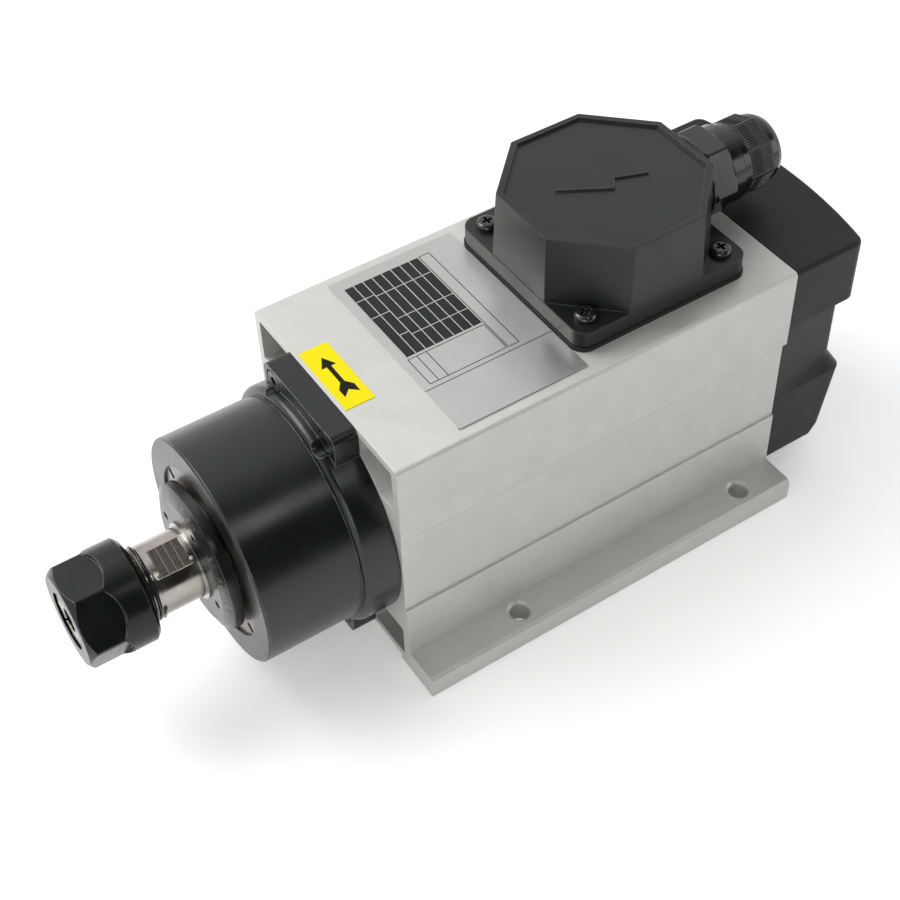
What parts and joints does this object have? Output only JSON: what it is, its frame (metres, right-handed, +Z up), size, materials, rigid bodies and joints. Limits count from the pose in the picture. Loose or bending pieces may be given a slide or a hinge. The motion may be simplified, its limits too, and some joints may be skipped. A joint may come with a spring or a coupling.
{
  "type": "motor spindle",
  "caption": "Square aluminium motor spindle with a collet nose, foot rails, octagonal terminal box, cable gland and fan cover.",
  "frame": {"origin": "Centre of the four foot holes, on the underside of the feet.", "axes": "+Z up; +Y from the collet nose towards the fan cover, along the shaft; +X to the right seen from the nose's rear."},
  "size_m": [0.11, 0.2745, 0.125],
  "materials": {
    "anodised_housing": "satin",
    "black_anodised": "semi-gloss",
    "black_steel": "satin",
    "ground_steel": "ground",
    "bearing_steel": "polished",
    "cage_brass": "satin",
    "black_nut": "semi-gloss",
    "core_steel": "satin",
    "winding_copper": "varnished",
    "cast_aluminium": "cast",
    "zinc_steel": "zinc plated",
    "black_plastic": "fine grain",
    "gasket_rubber": "matt",
    "block_plastic": "matt",
    "terminal_brass": "satin",
    "lead_insulation": "matt",
    "gland_plastic": "gloss",
    "plate_aluminium": "satin",
    "label_yellow": "gloss"
  },
  "bodies": {
    "motor_body": {"housing_profile": "anodised_housing", "front_bracket": "black_anodised", "front_bracket_screws": "black_steel", "bearing_retaining_ring": "ground_steel", "front_outer_races": "bearing_steel", "front_outer_spacer": "ground_steel", "stator_core": "core_steel", "stator_winding": "winding_copper", "rear_bracket": "cast_aluminium", "rear_bracket_screws": "zinc_steel", "rear_outer_race": "bearing_steel", "preload_springs": "bearing_steel", "rear_cover": "black_plastic", "cover_screws": "zinc_steel", "box_gasket": "gasket_rubber", "terminal_box_lid": "black_plastic", "box_screws": "zinc_steel", "terminal_block": "block_plastic", "terminal_studs": "terminal_brass", "terminal_nuts": "terminal_brass", "motor_leads": "lead_insulation", "earth_screw": "zinc_steel", "gland_washer": "gasket_rubber", "gland_body": "gland_plastic", "gland_lock_nut": "gland_plastic", "nameplate": "plate_aluminium", "rotation_label": "label_yellow"},
    "spindle": {"spindle_shaft": "ground_steel", "rotor_core": "core_steel", "rotor_end_rings": "cast_aluminium", "dust_cap": "black_anodised", "front_inner_races": "bearing_steel", "front_inner_spacer": "ground_steel", "rear_inner_race": "bearing_steel", "cooling_fan": "black_plastic", "fan_nut": "zinc_steel"},
    "front_cage_set": {"front_cages": "cage_brass", "front_balls": "bearing_steel"},
    "rear_cage_set": {"rear_cage": "cage_brass", "rear_balls": "bearing_steel"},
    "collet_carriage": {"collet": "ground_steel"},
    "clamping_nut": {"collet_nut": "black_nut"},
    "seal_carriage": {"gland_seal": "gasket_rubber"},
    "dome_nut": {"gland_nut": "gland_plastic"}
  },
  "joints": [
    {"name": "spindle_spin", "type": "hinge", "parent": "motor_body", "child": "spindle", "pos_m": [0, 0, 0.048], "axis": [0, 1, 0], "continuous": true},
    {"name": "front_cage_spin", "type": "hinge", "parent": "motor_body", "child": "front_cage_set", "pos_m": [0, -0.106, 0.048], "axis": [0, 1, 0], "continuous": true},
    {"name": "rear_cage_spin", "type": "hinge", "parent": "motor_body", "child": "rear_cage_set", "pos_m": [0, 0.0515, 0.048], "axis": [0, 1, 0], "continuous": true},
    {"name": "collet_travel", "type": "slide", "parent": "spindle", "child": "collet_carriage", "axis": [0, -1, 0], "range_m": [0, 0.0045]},
    {"name": "nut_turn", "type": "hinge", "parent": "collet_carriage", "child": "clamping_nut", "pos_m": [0, -0.1757, 0.048], "axis": [0, -1, 0], "range_deg": [0, 1080]},
    {"name": "seal_travel", "type": "slide", "parent": "motor_body", "child": "seal_carriage", "axis": [0, 1, 0], "range_m": [0, 0.0045]},
    {"name": "dome_nut_turn", "type": "hinge", "parent": "seal_carriage", "child": "dome_nut", "pos_m": [0, 0.0665, 0.1102], "axis": [0, 1, 0], "range_deg": [0, 1080]}
  ],
  "couplings": [
    {"joint": "front_cage_spin", "follows": "spindle_spin", "ratio": 0.3987},
    {"joint": "rear_cage_spin", "follows": "spindle_spin", "ratio": 0.3947},
    {"joint": "nut_turn", "follows": "collet_travel", "rad_per_m": 4188.8},
    {"joint": "dome_nut_turn", "follows": "seal_travel", "rad_per_m": 4188.8}
  ]
}
